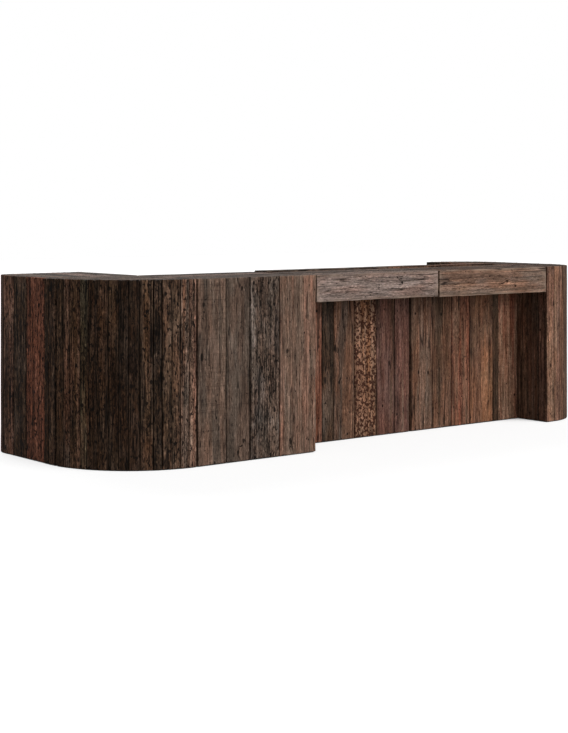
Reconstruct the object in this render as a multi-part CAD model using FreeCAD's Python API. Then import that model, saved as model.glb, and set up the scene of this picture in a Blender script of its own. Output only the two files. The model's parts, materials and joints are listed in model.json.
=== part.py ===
import FreeCAD, Part
import math
import os

Vector = FreeCAD.Vector

# A U-shaped bar counter clad in upright boards, built from six bolted modules. Millimetres, +Z up, the
# customers' side faces -Y, and the origin is on the floor at the middle of the overall box.

# Overall sizes
counter_height = 1050.0  # floor to bar top
counter_depth = 600.0  # straight modules, and the radius of the round front corner
pod_width = 865.0  # straight front between the round corner and the recess
bay_width = 1013.0  # each of the two recessed modules
recess_depth = 260.0  # from the front plane to the recessed boards
wing_length = 1250.0  # left wing, from the front plane
wing_radius = 125.0  # outer rear corner of the left wing
end_width = 424.0  # narrow right-hand module
end_length = 1165.0
end_radius = 350.0  # both outer corners of the right-hand module
cover_angle = 7.0  # part of the round corner that the wing's last stave covers

# Timber, sheet and hardware sections
cladding = 28.0
sheet = 18.0
top_board = 34.0
ledge_rise = 8.0  # the rear board of each bay's top stands this far proud
frame_thickness = 28.0
frame_stile = 42.0
pod_rail_height = 60.0
bottom_rail_drop = 22.0
dust_sheet = 12.0
lining = 6.0  # thin sheets and strips behind the boards of the open wing
block_width = 80.0
block_height = 87.0
glide_height = 3.0
glide_diameter = 45.0
toe_depth = 60.0
shelf_height = 500.0
post_width = 45.0
post_setback = 40.0
block_setback = 45.0

# Joints between boards and between modules
board_gap = 1.5
module_gap = 6.0
eased_edge = 2.5
fit = 0.3

# Drawers in the overhang of the two bays
front_height = 165.0
front_thickness = 30.0
front_end_gap = 5.0
front_back_gap = 2.0
right_front_drop = 6.0  # the right-hand front hangs a little lower
grip_lip = 14.0  # the front's lower edge hangs below the dust sheet as a finger grip
box_rear_clear = 72.0  # drawer back to face frame
box_board = 14.0
box_bottom = 8.0
box_bottom_raise = 6.0
box_clear_below = 5.0
box_clear_above = 6.0
track_width = 13.0  # cheek to drawer side
track_height = 36.0
track_wall = 2.0
track_flange = 9.0
track_rear_clear = 88.0  # track end to face frame
track_setback = 12.0
track_clear = 0.5

# Bolts that hold neighbouring modules together
bolt_diameter = 10.0
bolt_head_flats = 17.0
bolt_head_height = 6.5
nut_height = 8.0
bolt_spare_length = 4.0
hole_clear = 0.5
bolt_low = 300.0
bolt_below_dust = 99.0  # upper bolts, below the dust sheets
bolt_setback = 95.0

# Relative board widths along each face, in the order that each face is walked
wing_side_shares = (110, 130, 188, 42)
wing_stave_shares = (1, 1.15, 0.9, 1.1, 0.95, 1)
wing_rear_shares = (150, 130, 140)
corner_stave_shares = (62, 52, 70, 58, 48, 66, 60, 54, 64, 74, 50, 56, 52, 54, 52)
pod_front_shares = (200, 171, 218, 275)
pod_return_shares = (96, 140, 118, 130)
left_bay_shares = (136, 134, 97, 174, 186, 160, 140)
right_bay_shares = (198, 170, 169, 222, 50, 192)
end_stave_shares = (60, 52, 66, 56, 62, 50, 64, 58, 54)
end_outer_shares = (150, 170, 145)
end_inner_shares = (98, 98, 161, 90, 90, 140, 140, 140, 100, 52)
top_shares = (150, 135, 165, 125)
wing_top_shares = (140, 130, 165, 135)
end_top_shares = (130, 145, 120)

# Plan positions
half_length = (counter_depth + pod_width + 2 * bay_width + end_width) / 2
x_left = -half_length
x_pod = x_left + counter_depth
x_bay = x_pod + pod_width
x_mid = x_bay + bay_width
x_end = x_mid + bay_width
x_right = x_end + end_width
y_front = -wing_length / 2
y_back = y_front + counter_depth
y_wing = y_front + wing_length
y_end = y_front + end_length
y_recess = y_front + recess_depth
y_frame = y_back - frame_thickness
y_overhang = y_front + front_thickness + front_back_gap

# Heights
z_sole = glide_height
z_plinth = z_sole + block_height
z_floor = z_plinth + sheet
z_shelf = shelf_height
z_boards = counter_height - top_board
z_subtop = z_boards - sheet
z_front = counter_height - front_height
z_dust = z_front + grip_lip

corner_centre = (x_pod, y_back)
wing_centre = (x_left + wing_radius, y_wing - wing_radius)
end_front_centre = (x_right - end_radius, y_front + end_radius)
end_rear_centre = (x_right - end_radius, y_end - end_radius)

nodes = {}


def box(x0, y0, z0, x1, y1, z1):
    """A block between two opposite corners."""
    return Part.makeBox(x1 - x0, y1 - y0, z1 - z0, Vector(x0, y0, z0))


def prism(points, z0, z1):
    """A plan outline raised from z0 to z1."""
    corners = [Vector(x, y, z0) for x, y in points]
    wire = Part.makePolygon(corners + corners[:1])
    return Part.Face(wire).extrude(Vector(0, 0, z1 - z0))


def steps(start, finish, shares):
    """Positions that divide a stretch in proportion to the shares."""
    total = sum(shares)
    return [start + (finish - start) * sum(shares[:i]) / total for i in range(len(shares) + 1)]


def upright_board(p, q, z0, z1, lean=0.0, thickness=cladding):
    """A standing board with its eased face from p to q, body to the left of that line, sides leaning in."""
    length = math.dist(p, q)
    along = ((q[0] - p[0]) / length, (q[1] - p[1]) / length)
    inward = (-along[1], along[0])

    def point(distance, depth):
        return tuple(p[i] + along[i] * distance + inward[i] * depth for i in (0, 1))

    near = board_gap / 2
    far = length - near
    narrowing = math.tan(math.radians(lean))
    outline = [
        point(near + eased_edge, 0),
        point(far - eased_edge, 0),
        point(far - eased_edge * narrowing, eased_edge),
        point(far - thickness * narrowing, thickness),
        point(near + thickness * narrowing, thickness),
        point(near + eased_edge * narrowing, eased_edge),
    ]
    return prism(outline, z0, z1)


def face_boards(p, q, shares, z0=z_sole, z1=counter_height):
    """Boards side by side along a straight face from p to q."""
    cuts = steps(0.0, 1.0, shares)
    places = [tuple(p[i] + (q[i] - p[i]) * cut for i in (0, 1)) for cut in cuts]
    return [upright_board(a, b, z0, z1) for a, b in zip(places, places[1:])]


def on_arc(centre, radius, angle):
    """The point of a plan circle at an angle in degrees."""
    turn = math.radians(angle)
    return (centre[0] + radius * math.cos(turn), centre[1] + radius * math.sin(turn))


def arc_staves(centre, radius, angles, z0=z_sole, z1=counter_height):
    """Flat-faced staves with mitred sides round an arc."""
    staves = []
    for first, last in zip(angles, angles[1:]):
        p = on_arc(centre, radius, first)
        q = on_arc(centre, radius, last)
        staves.append(upright_board(p, q, z0, z1, (last - first) / 2))
    return staves


def inner_inset(angles):
    """How far inside the outer arc a rib lies so that it clears the flat backs of the staves."""
    widest = max(last - first for first, last in zip(angles, angles[1:]))
    return cladding / math.cos(math.radians(widest / 2)) + fit


def inner_arc(centre, radius, angles):
    """Corners of a rib's edge behind the staves of an arc."""
    inset = inner_inset(angles)
    return [on_arc(centre, radius - inset, angle) for angle in angles]


def strips_along_x(outline, y0, y1, shares, z0, z1):
    """Top boards that run along X, cut to a plan outline."""
    slab = prism(outline, z0, z1)
    cuts = steps(y0, y1, shares)
    x0, x1 = slab.BoundBox.XMin, slab.BoundBox.XMax
    gap = board_gap / 2
    return [slab.common(box(x0, a + gap, z0, x1, b - gap, z1)) for a, b in zip(cuts, cuts[1:])]


def strips_along_y(outline, x0, x1, shares, z0, z1):
    """Top boards that run along Y, cut to a plan outline."""
    slab = prism(outline, z0, z1)
    cuts = steps(x0, x1, shares)
    y0, y1 = slab.BoundBox.YMin, slab.BoundBox.YMax
    gap = board_gap / 2
    return [slab.common(box(a + gap, y0, z0, b - gap, y1, z1)) for a, b in zip(cuts, cuts[1:])]


def rectangle(x0, y0, x1, y1):
    """Plan corners of a rectangle, walked with its inside on the left."""
    return [(x0, y0), (x1, y0), (x1, y1), (x0, y1)]


def add(name, *solids):
    """Put solids into a named node."""
    nodes.setdefault(name, []).extend(solids)


def hexagon(flats, height):
    """A hexagonal block standing on the origin."""
    radius = flats / 2 / math.cos(math.pi / 6)
    return prism([on_arc((0, 0), radius, 60 * i) for i in range(6)], 0, height)


def bolt_set(names, axis, start, grip, places):
    """Bolts along an axis through the named nodes, with their nuts and clearance holes."""
    direction = Vector(1, 0, 0) if axis == "x" else Vector(0, 1, 0)
    turn = FreeCAD.Rotation(Vector(0, 0, 1), direction)
    for across, z in places:
        seat = Vector(start, across, z) if axis == "x" else Vector(across, start, z)
        reach = grip + nut_height + bolt_spare_length
        head = hexagon(bolt_head_flats, bolt_head_height)
        head.translate(Vector(0, 0, -bolt_head_height))
        bolt = head.fuse(Part.makeCylinder(bolt_diameter / 2, reach))
        bore = Part.makeCylinder(bolt_diameter / 2 + fit, nut_height)
        nut = hexagon(bolt_head_flats, nut_height).cut(bore)
        nut.translate(Vector(0, 0, grip))
        hole = Part.makeCylinder(bolt_diameter / 2 + hole_clear, grip)
        for shape in (bolt, nut, hole):
            shape.Placement = FreeCAD.Placement(seat, turn).multiply(shape.Placement)
        add("connector_bolts", bolt)
        add("connector_nuts", nut)
        for name in names:
            nodes[name] = [solid.cut(hole) for solid in nodes[name]]


def stand_on(places):
    """A sole block and a floor glide under each place."""
    half = block_width / 2
    for x, y in places:
        add("sole_blocks", box(x - half, y - half, z_sole, x + half, y + half, z_plinth))
        add("floor_glides", Part.makeCylinder(glide_diameter / 2, glide_height, Vector(x, y, 0)))


# Left wing: its open shelves face the service side, +X
wing_angles = steps(90.0, 180.0, wing_stave_shares)
wing_inset = inner_inset(wing_angles)
cover_angles = [180.0, 180.0 + cover_angle]
corner_angles = steps(180.0 + cover_angle, 270.0, corner_stave_shares)
wing_straight = (x_left, y_wing - wing_radius)
add("wing_side_boards", *face_boards(wing_straight, (x_left, y_back), wing_side_shares))
add("wing_side_boards", *arc_staves(corner_centre, counter_depth, cover_angles))
add("wing_corner_staves", *arc_staves(wing_centre, wing_radius, wing_angles))
wing_rear_start = (x_pod, y_wing)
wing_rear_finish = (x_left + wing_radius, y_wing)
add("wing_rear_boards", *face_boards(wing_rear_start, wing_rear_finish, wing_rear_shares))


def wing_outline(x_open, y_start):
    """The wing's plan inside its boards, from the module joint to the rear and out to x_open."""
    rear = y_wing - wing_inset
    outer = x_left + wing_inset
    curve = inner_arc(wing_centre, wing_radius, wing_angles)
    return [(outer, y_start), (x_open, y_start), (x_open, rear)] + curve


wing_inside = wing_outline(x_pod - frame_thickness, y_back + sheet)
add("wing_shelves", prism(wing_inside, z_plinth, z_floor), prism(wing_inside, z_shelf, z_shelf + sheet))
lining_curve = [on_arc(wing_centre, wing_radius - wing_inset - lining, angle) for angle in wing_angles]
lining_rear = y_wing - wing_inset - lining
lining_start = (wing_inside[0][0] + lining, wing_inside[0][1])
lining_back = wing_inside[2:] + wing_inside[:1]
lining_face = [(wing_inside[1][0], lining_rear)] + lining_curve + [lining_start]
for z0, z1 in ((z_floor, z_shelf), (z_shelf + sheet, z_subtop)):
    for a, b, c, d in zip(lining_back, lining_back[1:], lining_face[1:], lining_face):
        add("wing_lining", prism([a, b, c, d], z0, z1))
add("wing_subtop", prism(wing_outline(x_pod, y_back), z_subtop, z_boards))
wing_top_left = x_left + wing_inset
wing_top_outline = wing_outline(x_pod, y_back + board_gap / 2)
wing_tops = strips_along_y(wing_top_outline, wing_top_left, x_pod, wing_top_shares, z_boards, counter_height)
add("wing_top_boards", *wing_tops)
wing_joint_right = x_pod - frame_thickness
add("wing_partition", box(wing_top_left, y_back, z_sole, wing_joint_right, y_back + sheet, z_subtop))
wing_frame_rear = y_wing - cladding
wing_stiles = ((y_back, y_back + frame_stile), (wing_frame_rear - frame_stile, wing_frame_rear))
for y0, y1 in wing_stiles:
    add("wing_face_frame", box(wing_joint_right, y0, z_sole, x_pod, y1, z_subtop))
wing_rails = ((z_subtop - pod_rail_height, z_subtop), (z_plinth - bottom_rail_drop, z_floor))
for z0, z1 in wing_rails:
    add("wing_face_frame", box(wing_joint_right, wing_stiles[0][1], z0, x_pod, wing_stiles[1][0], z1))
wing_toe = x_pod - toe_depth
wing_toe_rear = wing_frame_rear - fit
add("plinth_boards", box(wing_toe - sheet, y_back + sheet, z_sole, wing_toe, wing_toe_rear, z_plinth))

# Round front corner, closed on the inside by the two joint panels
corner_all = cover_angles[:1] + corner_angles
corner_inset = inner_inset(corner_all)
add("corner_staves", *arc_staves(corner_centre, counter_depth, corner_angles))
corner_outline = [corner_centre] + inner_arc(corner_centre, counter_depth, corner_all)
corner_left = x_left + corner_inset
corner_front = y_front + corner_inset
corner_inside = prism(corner_outline, z_sole, z_subtop)
pod_joint_panel = box(x_pod - sheet, corner_front, z_sole, x_pod, y_back, z_subtop)
wing_joint_panel = box(corner_left, y_back - sheet, z_sole, x_pod - sheet, y_back, z_subtop)
add("corner_panels", pod_joint_panel.common(corner_inside), wing_joint_panel.common(corner_inside))
corner_room = box(x_left, y_front, 0, x_pod - sheet, y_back - sheet, counter_height)
for z0 in (z_plinth, z_shelf):
    add("corner_ribs", prism(corner_outline, z0, z0 + sheet).common(corner_room))
add("corner_ribs", prism(corner_outline, z_subtop, z_boards))
corner_tops = strips_along_x(corner_outline, corner_front, y_back, top_shares, z_boards, counter_height)
add("corner_top_boards", *corner_tops)

# Pod: straight front, open shelves at the rear
pod_left = x_pod + sheet
pod_right = x_bay - cladding
pod_lining = y_front + cladding
pod_rear_of_backing = pod_lining + sheet
add("pod_front_boards", *face_boards((x_pod + module_gap / 2, y_front), (x_bay, y_front), pod_front_shares))
return_start = (x_bay, pod_lining)
add("pod_return_boards", *face_boards(return_start, (x_bay, y_frame), pod_return_shares))
add("pod_sides", box(x_pod, pod_lining, z_sole, pod_left, y_frame, z_subtop))
add("pod_sides", box(pod_right - sheet, pod_lining, z_sole, pod_right, y_frame, z_subtop))
pod_inner_right = pod_right - sheet
add("pod_backing", box(pod_left, pod_lining, z_sole, pod_inner_right, pod_rear_of_backing, z_subtop))
for z0 in (z_plinth, z_shelf):
    add("pod_shelves", box(pod_left, pod_rear_of_backing, z0, pod_inner_right, y_frame, z0 + sheet))
add("pod_subtop", box(x_pod, pod_lining, z_subtop, pod_right, y_back, z_boards))
pod_top_outline = rectangle(x_pod + board_gap / 2, pod_lining, pod_right, y_back)
pod_tops = strips_along_x(pod_top_outline, pod_lining, y_back, top_shares, z_boards, counter_height)
add("pod_top_boards", *pod_tops)


def face_frame(name, x0, x1, left_stile, right_stile, rail_height):
    """Two stiles, a top rail and a bottom rail round the open rear of a module."""
    inner_left = x0 + left_stile
    inner_right = x1 - right_stile
    add(name, box(x0, y_frame, z_sole, inner_left, y_back, z_subtop))
    add(name, box(inner_right, y_frame, z_sole, x1, y_back, z_subtop))
    add(name, box(inner_left, y_frame, z_subtop - rail_height, inner_right, y_back, z_subtop))
    add(name, box(inner_left, y_frame, z_plinth - bottom_rail_drop, inner_right, y_back, z_floor))


face_frame("pod_face_frame", x_pod, x_bay, frame_stile, frame_stile + cladding, pod_rail_height)


def toe_board(x0, x1):
    """The set-back board under a module's rear."""
    y1 = y_back - toe_depth
    add("plinth_boards", box(x0, y1 - sheet, z_sole, x1, y1, z_plinth))


toe_board(pod_left, pod_inner_right)


def bay(side, x0, x1, shares, front_drop):
    """A recessed module with a drawer in its overhang; x0 and x1 are its joint planes."""
    left = x0 + sheet
    right = x1 - sheet
    board_back = y_recess + cladding
    behind = board_back + sheet
    boards_from = (x0, y_recess)
    boards_to = (x1 - module_gap / 2, y_recess)
    add(side + "_bay_boards", *face_boards(boards_from, boards_to, shares, z_sole, z_dust))
    add(side + "_bay_backing", box(left, board_back, z_sole, right, behind, z_dust))
    for a, b in ((x0, left), (right, x1)):
        add(side + "_bay_sides", box(a, board_back, z_sole, b, y_frame, z_dust))
        add(side + "_bay_sides", box(a, y_overhang, z_dust, b, y_frame, z_subtop))
    for z in (z_plinth, z_shelf):
        add(side + "_bay_shelves", box(left, behind, z, right, y_frame, z + sheet))
    add(side + "_bay_dust_sheet", box(left, y_overhang, z_dust, right, y_frame, z_dust + dust_sheet))
    add(side + "_bay_subtop", box(x0, y_overhang, z_subtop, x1, y_back, z_boards))
    gap = board_gap / 2
    top_outline = rectangle(x0 + gap, y_overhang, x1 - gap, y_back)
    tops = strips_along_x(top_outline, y_overhang, y_back, top_shares, z_boards, counter_height)
    ledge = tops.pop().BoundBox
    proud = counter_height + ledge_rise
    tops.append(box(ledge.XMin, ledge.YMin, z_boards, ledge.XMax, ledge.YMax, proud))
    add(side + "_bay_top_boards", *tops)
    face_frame(side + "_bay_face_frame", x0, x1, frame_stile, frame_stile, z_subtop - z_dust)
    toe_board(left, right)
    drawer(side, x0, x1, left, right, front_drop)
    stand_on([(x, y) for x in (left + block_setback, right - block_setback) for y in bay_blocks])


def drawer(side, x0, x1, left, right, front_drop):
    """The drawer between two cheeks, its rails, and the tracks fixed to the cheeks."""
    name = side + "_drawer"
    box_front = y_front + front_thickness
    box_back = y_frame - box_rear_clear
    z0 = z_dust + dust_sheet + box_clear_below
    z1 = z_subtop - box_clear_above
    front_top = counter_height - board_gap
    a = x0 + front_end_gap
    b = x1 - front_end_gap
    add(name + "_front", box(a, y_front, z_front - front_drop, b, box_front, front_top))
    side_left = left + track_width
    side_right = right - track_width
    inner_left = side_left + box_board
    inner_right = side_right - box_board
    add(name + "_sides", box(side_left, box_front, z0, inner_left, box_back, z1))
    add(name + "_sides", box(inner_right, box_front, z0, side_right, box_back, z1))
    add(name + "_back", box(inner_left, box_back - box_board, z0, inner_right, box_back, z1))
    floor = z0 + box_bottom_raise
    inner_back = box_back - box_board
    add(name + "_bottom", box(inner_left, box_front, floor, inner_right, inner_back, floor + box_bottom))
    track_y0 = y_overhang + track_setback
    track_y1 = y_frame - track_rear_clear
    middle = (z0 + z1) / 2
    low = middle - track_height / 2
    high = middle + track_height / 2
    rail_low = low + track_wall + track_clear
    rail_high = high - track_wall - track_clear
    reach = track_wall + track_clear
    for cheek, inward in ((left, 1), (right, -1)):
        flange = cheek + inward * track_flange
        web = cheek + inward * track_wall
        profile = [
            (cheek, low),
            (flange, low),
            (flange, low + track_wall),
            (web, low + track_wall),
            (web, high - track_wall),
            (flange, high - track_wall),
            (flange, high),
            (cheek, high),
        ]
        corners = [Vector(x, track_y0, z) for x, z in profile]
        channel = Part.Face(Part.makePolygon(corners + corners[:1]))
        add("drawer_tracks", channel.extrude(Vector(0, track_y1 - track_y0, 0)))
        rail_x = sorted((cheek + inward * reach, cheek + inward * track_width))
        add(name + "_rails", box(rail_x[0], track_y0, rail_low, rail_x[1], track_y1, rail_high))


bay_rear_of_backing = y_recess + cladding + sheet
bay_blocks = (bay_rear_of_backing + block_setback, y_back - toe_depth - sheet - block_setback)
bay("left", x_bay, x_mid, left_bay_shares, 0.0)
bay("right", x_mid, x_end, right_bay_shares, right_front_drop)

# Right-hand end: a closed narrow module with two round outer corners
end_front_angles = steps(270.0, 360.0, end_stave_shares)
end_rear_angles = steps(0.0, 90.0, end_stave_shares)
end_inset = inner_inset(end_front_angles)
end_flat = x_right - end_radius
front_board = face_boards((x_end, y_front), (end_flat, y_front), (1,))
add("end_front_staves", *front_board, *arc_staves(end_front_centre, end_radius, end_front_angles))
outer_start = (x_right, y_front + end_radius)
outer_finish = (x_right, y_end - end_radius)
add("end_outer_boards", *face_boards(outer_start, outer_finish, end_outer_shares))
rear_board = face_boards((end_flat, y_end), (x_end, y_end), (1,))
add("end_rear_staves", *arc_staves(end_rear_centre, end_radius, end_rear_angles), *rear_board)
inner_start = (x_end, y_end - cladding)
inner_finish = (x_end, y_front + cladding)
add("end_inner_boards", *face_boards(inner_start, inner_finish, end_inner_shares))
end_inner = x_end + cladding
end_outline = (
    [(end_inner, y_front + end_inset)]
    + inner_arc(end_front_centre, end_radius, end_front_angles)
    + inner_arc(end_rear_centre, end_radius, end_rear_angles)
    + [(end_inner, y_end - end_inset)]
)
for z0 in (z_plinth, z_shelf):
    add("end_ribs", prism(end_outline, z0, z0 + sheet))
add("end_ribs", prism(end_outline, z_subtop, z_boards))
end_top_right = x_right - end_inset
end_tops = strips_along_y(end_outline, end_inner, end_top_right, end_top_shares, z_boards, counter_height)
add("end_top_boards", *end_tops)
post_x0 = end_inner
post_x1 = x_right - end_inset - post_setback - post_width
for x, y in (
    (post_x0, y_front + end_inset + post_setback),
    (post_x0, y_end - end_inset - post_setback - post_width),
    (post_x1, y_front + end_radius),
    (post_x1, y_end - end_radius - post_width),
):
    for z0, z1 in ((z_floor, z_shelf), (z_shelf + sheet, z_subtop)):
        add("end_posts", box(x, y, z0, x + post_width, y + post_width, z1))

# Sole blocks and glides under the other modules
pod_blocks = (pod_rear_of_backing + block_setback, y_back - toe_depth - sheet - block_setback)
stand_on([(x, y) for x in (pod_left + block_setback, pod_inner_right - block_setback) for y in pod_blocks])
corner_near = block_width
corner_far = counter_depth - corner_inset - 2 * block_setback
stand_on(
    [
        (x_pod - sheet - corner_near, y_back - sheet - corner_near),
        (x_pod - sheet - block_setback, y_back - corner_far),
        (x_pod - corner_far, y_back - sheet - block_setback),
    ]
)
wing_block_x = (x_left + wing_radius - block_setback, wing_toe - sheet - block_setback)
wing_block_y = (y_back + sheet + block_setback, y_wing - wing_radius)
stand_on([(x, y) for x in wing_block_x for y in wing_block_y])
end_block_x = (end_inner + block_setback, x_right - end_inset - 2 * block_setback)
end_block_rows = ((0, end_radius / 2), (1, end_radius))
stand_on([(end_block_x[i], y) for i, inset in end_block_rows for y in (y_front + inset, y_end - inset)])

# Bolted joints between neighbouring modules
bolt_rows = (bolt_low, z_dust - bolt_below_dust)
wing_bolt_x = (x_left + wing_radius, x_pod - frame_thickness - bolt_setback)
wing_places = [(x, z) for x in wing_bolt_x for z in bolt_rows]
bolt_set(("wing_partition", "corner_panels"), "y", y_back - sheet, 2 * sheet, wing_places)
pod_bolt_y = (y_front + recess_depth, y_frame - bolt_setback)
pod_places = [(y, z) for y in pod_bolt_y for z in bolt_rows]
bolt_set(("corner_panels", "pod_sides"), "x", x_pod - sheet, 2 * sheet, pod_places)
bay_bolt_y = (bay_rear_of_backing + bolt_setback, y_frame - bolt_setback)
bay_places = [(y, z) for y in bay_bolt_y for z in bolt_rows]
pod_joint = ("pod_sides", "pod_return_boards", "left_bay_sides")
bolt_set(pod_joint, "x", pod_inner_right, 2 * sheet + cladding, bay_places)
bolt_set(("left_bay_sides", "right_bay_sides"), "x", x_mid - sheet, 2 * sheet, bay_places)
bolt_set(("right_bay_sides", "end_inner_boards"), "x", x_end - sheet, sheet + cladding, bay_places)

os.makedirs("parts", exist_ok=True)
for name, solids in nodes.items():
    shape = solids[0] if len(solids) == 1 else Part.makeCompound(solids)
    shape.exportStep("parts/" + name + ".step")
print(len(nodes), "nodes,", sum(len(solids) for solids in nodes.values()), "solids")
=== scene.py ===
import json
import math

import bpy
import numpy as np
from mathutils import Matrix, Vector

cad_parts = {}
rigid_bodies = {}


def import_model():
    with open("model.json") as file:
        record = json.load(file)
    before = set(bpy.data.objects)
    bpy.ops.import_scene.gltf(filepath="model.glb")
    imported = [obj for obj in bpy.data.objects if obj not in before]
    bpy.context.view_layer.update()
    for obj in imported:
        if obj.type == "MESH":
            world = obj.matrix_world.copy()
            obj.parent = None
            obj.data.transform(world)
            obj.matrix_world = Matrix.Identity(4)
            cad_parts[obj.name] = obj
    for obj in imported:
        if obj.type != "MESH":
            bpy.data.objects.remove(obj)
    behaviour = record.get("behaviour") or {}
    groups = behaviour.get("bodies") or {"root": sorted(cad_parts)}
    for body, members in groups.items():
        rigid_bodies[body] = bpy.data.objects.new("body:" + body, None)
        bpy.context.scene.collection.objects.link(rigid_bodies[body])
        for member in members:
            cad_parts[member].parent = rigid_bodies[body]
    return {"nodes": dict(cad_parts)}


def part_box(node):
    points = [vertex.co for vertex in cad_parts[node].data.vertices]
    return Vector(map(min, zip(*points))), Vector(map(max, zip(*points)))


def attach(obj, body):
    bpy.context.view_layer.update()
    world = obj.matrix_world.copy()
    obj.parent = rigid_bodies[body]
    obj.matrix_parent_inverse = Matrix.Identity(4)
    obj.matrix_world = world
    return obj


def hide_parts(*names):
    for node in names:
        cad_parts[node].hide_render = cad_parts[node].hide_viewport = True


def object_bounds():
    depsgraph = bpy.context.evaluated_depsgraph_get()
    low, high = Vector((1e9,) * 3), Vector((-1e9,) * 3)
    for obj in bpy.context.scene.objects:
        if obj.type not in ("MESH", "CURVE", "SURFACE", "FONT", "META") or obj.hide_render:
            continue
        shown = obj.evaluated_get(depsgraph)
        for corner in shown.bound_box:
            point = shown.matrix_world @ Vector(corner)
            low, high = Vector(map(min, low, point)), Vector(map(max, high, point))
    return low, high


for leftover in list(bpy.data.objects):
    bpy.data.objects.remove(leftover)
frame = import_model()
cad_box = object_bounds()

# Board surfaces, in metres
grid_across = 0.008
grid_along = 0.022
edge_lines = np.array([0.0, 0.0014, 0.0038, 0.0085])  # grid lines beside an edge
edge_fade = 0.0085  # distance over which an uneven edge evens out
face_depth = 0.0038  # depth within which a solid's points count as its face
back_depth = 0.0014  # the same for its back
edge_radius = 0.0042
edge_bite = 0.009
edge_wander = 0.0016
end_wander = 0.0022
face_setback = 0.0022
face_warp = 0.0007
wear_reach = 0.0055
# The darkening along a board's long edges is grime and painted shade beside the seams
grime_and_shade_reach = 0.0095
grain_shift = 40.0  # each board takes its grain from a place within this distance

# Wavelengths of a board's unevenness, across and along the grain; 0 means even that way
swell_waves = (0, 0.25)
bite_waves = (0.3, 0.16)
warp_waves = (0.12, 0.5)
edge_waves = (0.7, 0.18)
end_waves = (0.05, 1.4)
rub_waves = (0.1, 0.2)
spread_waves = (0.9, 0.22)
grime_and_shade_waves = (0.9, 0.4)

# How much of it shows
swell_share = 0.35
least_radius_share = 0.3
bite_start = 1.1
edge_wander_share = 0.6
end_wander_share = 0.7
rub_shares = (0.6, 0.4)  # mean and change
spread_share = 0.9
spread_limits = (0.25, 3)
grime_and_shade_shares = (0.65, 0.5)  # mean and change
tone_change = (0.9, 1.1)
shaded_back_marks = (1.0, 0.0, 1.0)  # grime and painted shade, rub, back: a board's sides and back take full painted shade, seen dark in the gaps

# Reading the solids
same_place = 5  # decimals in which the points of one solid agree
same_way = 3  # decimals in which the normals of one face agree
front_share = 0.6  # least cosine between a board's face and the way it looks
least_run = 1e-6
least_share = 1e-9
sharp_angle = 45.0  # degrees
seed = 41

# Camera, fitted to the photo's outline: place in metres, heading in degrees, lens in millimetres
camera_place = (-6.3751, -7.6516, 1.4436)
camera_heading = -38.74
camera_tilt = 90.0  # level
camera_lens = 76.03
camera_sensor = 36.0
camera_shift_up = -0.216

# Wood tones, red green blue from 0 to 255 as they look in plain light; the darkest, soot and peat, also
# serve as painted shade on the round corner's staves
tones = {
    "soot": (42, 29, 20),
    "peat": (57, 40, 28),
    "char": (55, 44, 36),
    "cocoa": (71, 50, 35),
    "umber": (70, 52, 40),
    "moss": (66, 56, 42),
    "slate": (79, 65, 56),
    "earth": (94, 67, 52),
    "ash": (98, 78, 66),
    "russet": (98, 60, 45),
    "plum": (88, 61, 53),
    "rust": (116, 73, 56),
    "clay": (113, 83, 69),
    "amber": (124, 86, 62),
    "tan": (134, 101, 81),
    "honey": (121, 92, 75),
    "drab": (120, 102, 94),
}

# Board tones in their order along each run, main tone and streak tone
wing_side_tones = ["clay earth", "umber peat", "rust rust", "peat peat", "peat umber"]
# Staves 4 to 11 take the darkest tones as painted shade, where the round corner turns away from the light
corner_tones_and_shade = [
    "cocoa peat", "ash earth", "earth cocoa", "moss cocoa", "soot peat",
    "peat cocoa", "soot peat", "soot soot", "soot soot", "cocoa umber",
    "soot soot", "umber peat", "umber char", "earth slate", "ash clay",
]
pod_tones = ["slate ash", "slate slate", "slate slate", "ash clay"]
left_bay_tones = [
    "rust earth", "russet clay", "char umber", "earth slate", "tan amber", "umber plum", "plum ash",
]
right_bay_tones = ["earth ash", "earth umber", "russet earth", "amber earth", "umber cocoa", "tan rust"]
end_inner_tones = [
    "umber char", "umber earth", "russet umber", "umber char", "earth umber",
    "earth umber", "rust earth", "tan earth", "earth ash", "clay earth",
]
end_front_tones = [
    "tan clay", "clay tan", "earth clay", "earth umber", "umber earth",
    "umber russet", "earth ash", "slate earth", "russet umber", "ash earth",
]
mixed_tones = [
    "ash umber", "russet earth", "earth ash", "slate char", "clay earth",
    "umber char", "rust umber", "ash slate", "tan earth", "moss slate",
]
top_tones = ["ash slate", "char slate", "drab slate", "slate char"]
dark_top_tones = ["umber earth", "soot peat", "cocoa umber"]
right_top_tones = ["earth umber", "soot peat", "ash cocoa", "earth peat"]

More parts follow.
